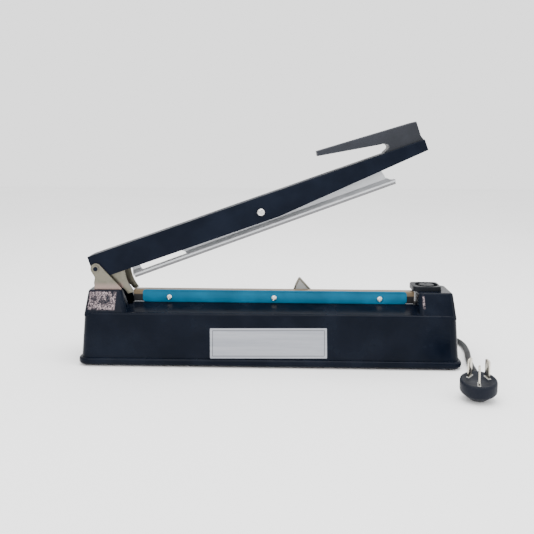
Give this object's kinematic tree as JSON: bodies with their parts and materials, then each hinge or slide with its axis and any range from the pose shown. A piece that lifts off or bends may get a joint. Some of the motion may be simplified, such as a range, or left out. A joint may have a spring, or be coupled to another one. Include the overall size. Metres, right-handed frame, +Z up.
{
  "type": "manual impulse heat sealer",
  "caption": "Hand-press impulse heat sealer: long moulded base with a sealing bar, sprung hinged arm with hook handle and press bar, timer dial, mains lead and plug.",
  "frame": {"origin": "centre of the base on the surface it stands on", "axes": "+X along the base from the hinge to the handle, -Y to the front, +Z up"},
  "size_m": [0.4272, 0.2813, 0.2524],
  "materials": {
    "housing_black": "glossy black moulding with a blue cast",
    "arm_black": "gloss black enamel on sheet steel",
    "handle_black": "satin charcoal moulding",
    "zinc": "zinc-plated sheet with a warm passivate",
    "bright_steel": "bright nickel-plated fasteners",
    "aluminium": "extruded, satin",
    "silicone": "soft grey silicone",
    "teal_strip": "teal-blue powder coat",
    "ptfe": "brown PTFE-coated glass cloth",
    "label_metal": "brushed foil label",
    "rubber_black": "matte black rubber",
    "cord_black": "black PVC sheath",
    "plug_black": "dark moulded PVC",
    "brass": "plated brass",
    "steel_dark": "blackened spring steel",
    "grey_moulding": "grey nylon",
    "board_green": "circuit board",
    "core_steel": "varnished laminations",
    "insulation": "woven glass",
    "timer_black": "satin black moulding"
  },
  "bodies": {
    "base": {"base_housing": "housing_black", "bottom_plate": "arm_black", "rubber_feet": "rubber_black", "bottom_screws": "bright_steel", "hinge_bracket": "zinc", "bracket_screws": "bright_steel", "hinge_pin": "zinc", "seal_bar": "aluminium", "insulating_strip": "insulation", "heating_element": "bright_steel", "element_clamps": "brass", "ptfe_tape": "ptfe", "front_strip": "teal_strip", "rear_strip": "teal_strip", "front_strip_screws": "bright_steel", "rear_strip_screws": "bright_steel", "timer_housing": "timer_black", "timer_pot": "grey_moulding", "timer_board": "board_green", "transformer": "core_steel", "micro_switch": "grey_moulding", "fuse_holder": "timer_black", "label_plate": "label_metal", "strain_relief": "rubber_black", "cord_lead_in": "cord_black", "cord_coil": "cord_black", "cord_lead_out": "cord_black", "plug_body": "plug_black", "plug_blades": "brass"},
    "arm": {"arm_channel": "arm_black", "arm_bracket": "zinc", "pivot_bush": "bright_steel", "return_spring": "bright_steel", "handle_grip": "handle_black", "handle_screws": "bright_steel", "bar_screw": "bright_steel", "bar_nut": "bright_steel", "bar_spacers": "bright_steel"},
    "press_bar": {"press_bar": "aluminium", "silicone_strip": "silicone"},
    "timer_knob": {"timer_knob": "timer_black"},
    "switch_lever": {"switch_lever": "steel_dark", "switch_cam": "grey_moulding"}
  },
  "joints": [
    {"name": "arm_hinge", "type": "hinge", "parent": "base", "child": "arm", "pos_m": [-0.1827, 0, 0.0965], "axis": [0, 1, 0], "range_deg": [0, 20], "stiffness_Nm_per_rad": 2.5, "springref_deg": -42.97, "deforming": ["return_spring"]},
    {"name": "press_bar_rock", "type": "hinge", "parent": "arm", "child": "press_bar", "pos_m": [-0.00909, 0, 0.15715], "axis": [0, 1, 0], "range_deg": [0, 0.3]},
    {"name": "timer_turn", "type": "hinge", "parent": "base", "child": "timer_knob", "pos_m": [0.1668, 0.002, 0.084], "axis": [0, 0, 1], "range_deg": [-140, 140]},
    {"name": "switch_press", "type": "slide", "parent": "base", "child": "switch_lever", "axis": [0, 0, -1], "range_m": [0, 0.0013]}
  ],
  "couplings": [
    {"joint": "press_bar_rock", "follows": "arm_hinge", "ratio": 0.015},
    {"joint": "switch_press", "follows": "arm_hinge", "m_per_rad": 0.003438}
  ]
}
